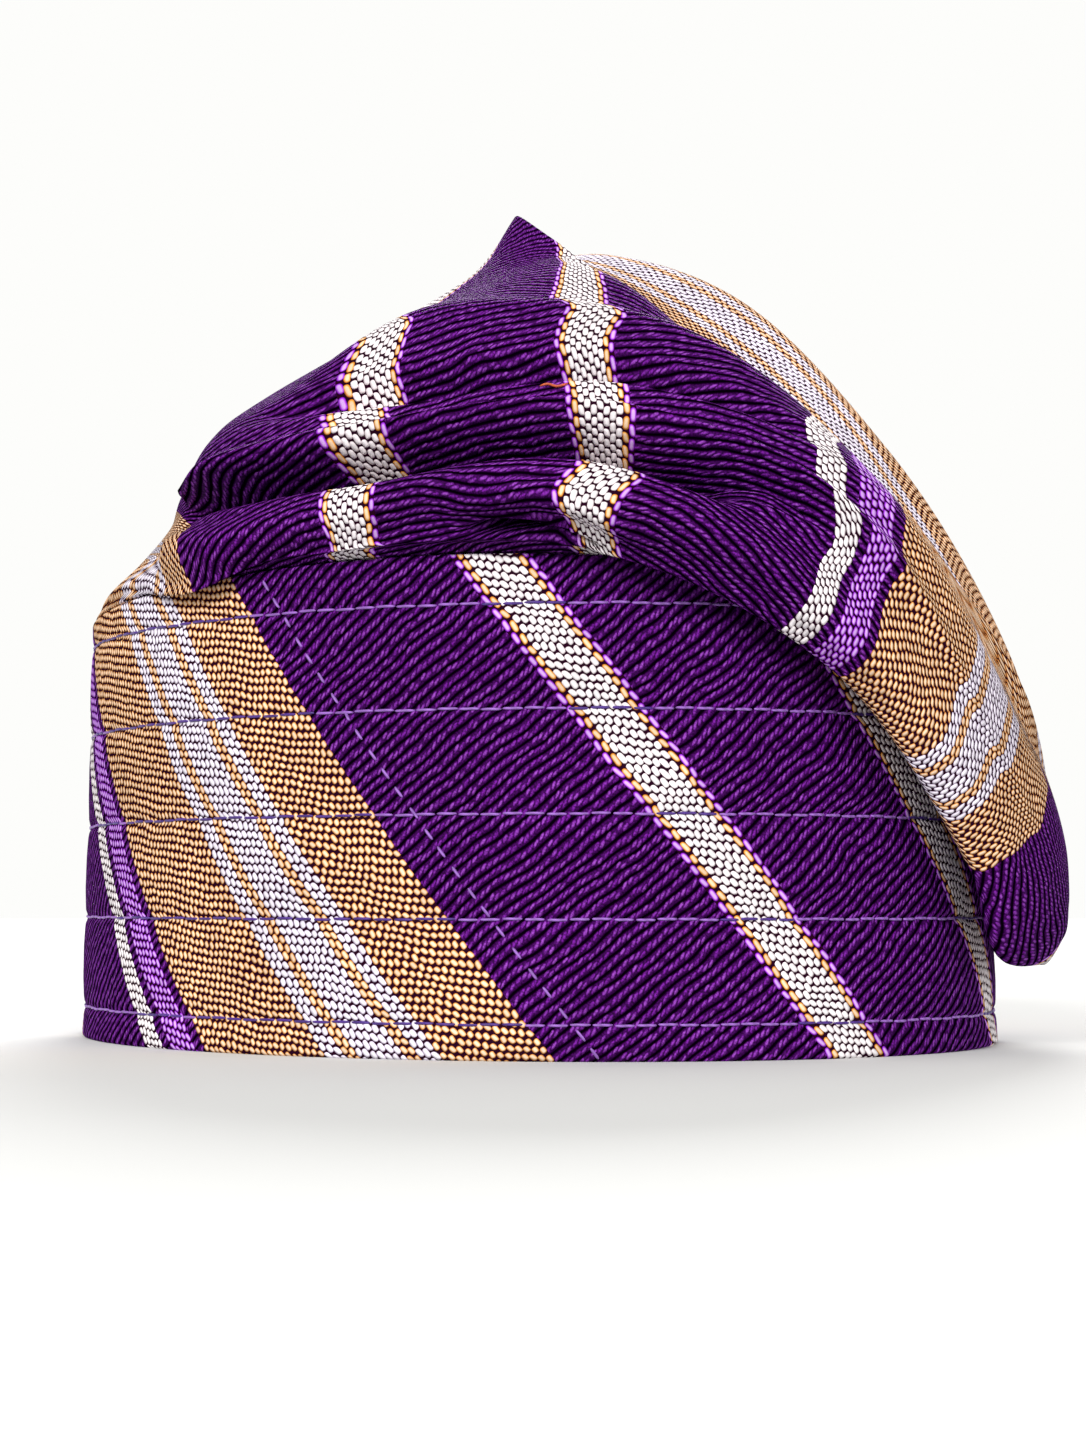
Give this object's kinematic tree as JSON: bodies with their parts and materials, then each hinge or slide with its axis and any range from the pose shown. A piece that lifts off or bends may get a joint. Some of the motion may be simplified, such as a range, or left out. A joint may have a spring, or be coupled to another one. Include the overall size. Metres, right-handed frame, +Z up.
{
  "type": "fila cap",
  "caption": "Yoruba fila cap of striped handwoven cloth: a stiff quilted band and a soft hollow crown folded over to the right.",
  "frame": {"origin": "on the ground under the middle of the whole cap's box, with the rim standing on z = 0", "axes": "+Z up, -Y the front as the picture shows it, +X the side on which the flop hangs"},
  "size_m": [0.198, 0.1998, 0.168],
  "materials": {
    "quilted_aso_oke": "handwoven striped cloth stitched flat over a stiffener, matte with slightly glossy beads of thread",
    "loose_aso_oke": "the same handwoven striped cloth, soft and unlined, matte with slightly glossy beads of thread"
  },
  "bodies": {
    "root": {"band": "quilted_aso_oke", "crown": "loose_aso_oke"}
  },
  "joints": []
}
